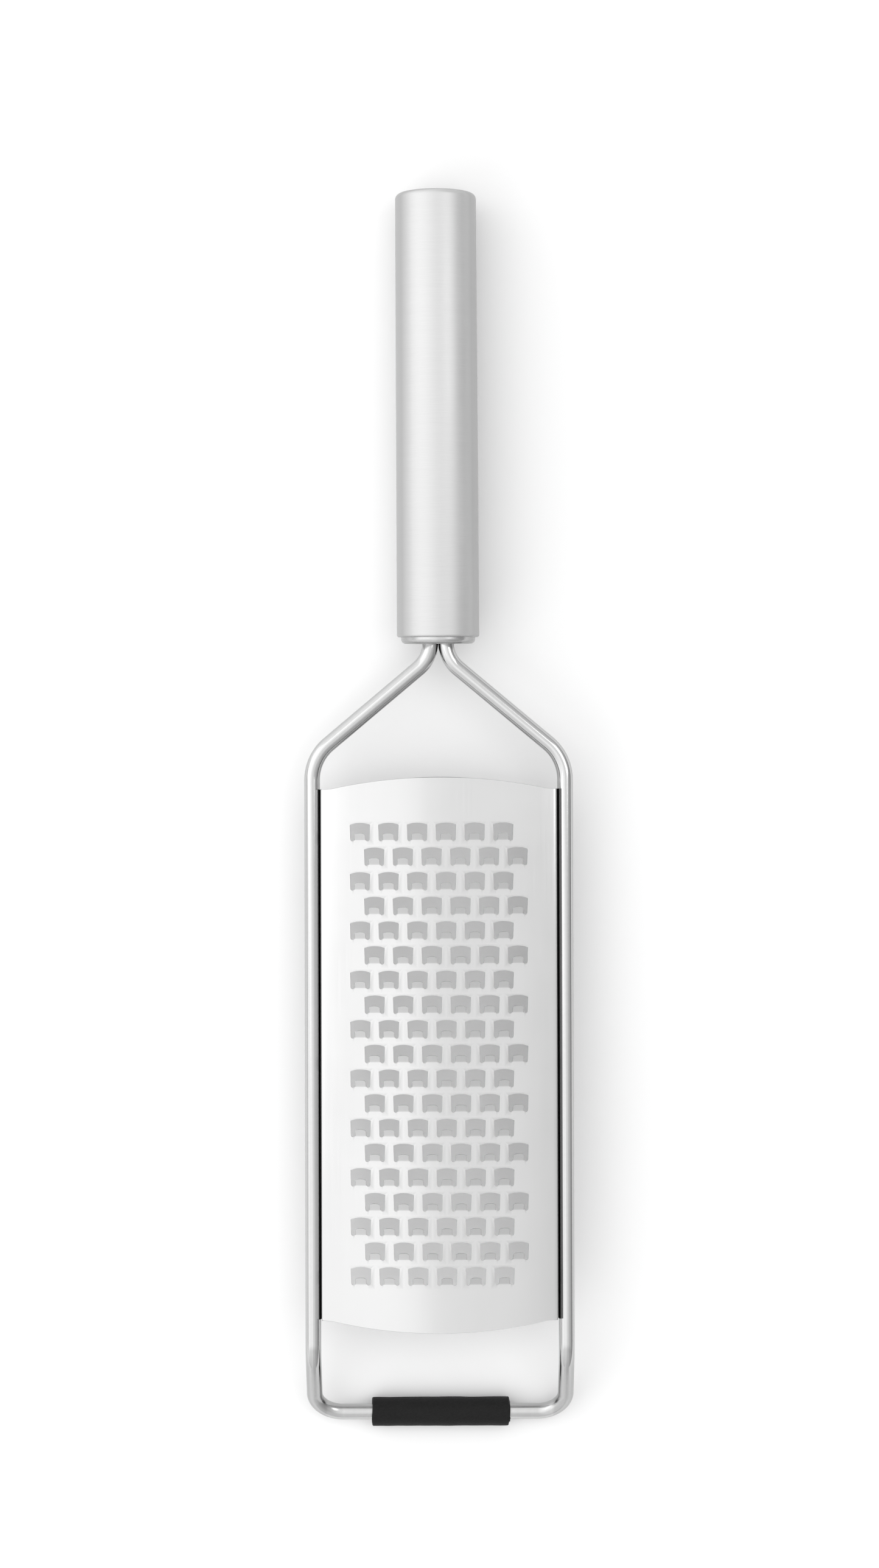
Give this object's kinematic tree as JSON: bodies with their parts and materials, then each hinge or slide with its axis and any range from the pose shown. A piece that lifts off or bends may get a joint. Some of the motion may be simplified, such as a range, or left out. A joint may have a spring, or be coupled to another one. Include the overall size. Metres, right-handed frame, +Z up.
{
  "type": "hand grater",
  "caption": "Flat hand grater: a bent steel rod frame carries a shallow arched toothed blade, with a tubular steel handle and a rubber sleeve on the foot bar.",
  "frame": {"origin": "middle of the space that the grater takes up, on the table that it lies on", "axes": "+Y along the grater from the foot to the handle's free end, +Z up from the table through the blade, +X across"},
  "size_m": [0.0716, 0.3312, 0.0247],
  "materials": {
    "handle_steel": "brushed round the tube",
    "cap_steel": "pressed, satin",
    "inner_steel": "plain, hidden",
    "rod_steel": "polished",
    "blade_steel": "smooth satin",
    "sleeve_rubber": "matt black"
  },
  "bodies": {
    "root": {"handle_tube": "handle_steel", "end_cap": "handle_steel", "neck_cap": "cap_steel", "tail_spacer": "inner_steel", "frame_wire": "rod_steel", "grater_blade": "blade_steel", "foot_sleeve": "sleeve_rubber"}
  },
  "joints": []
}
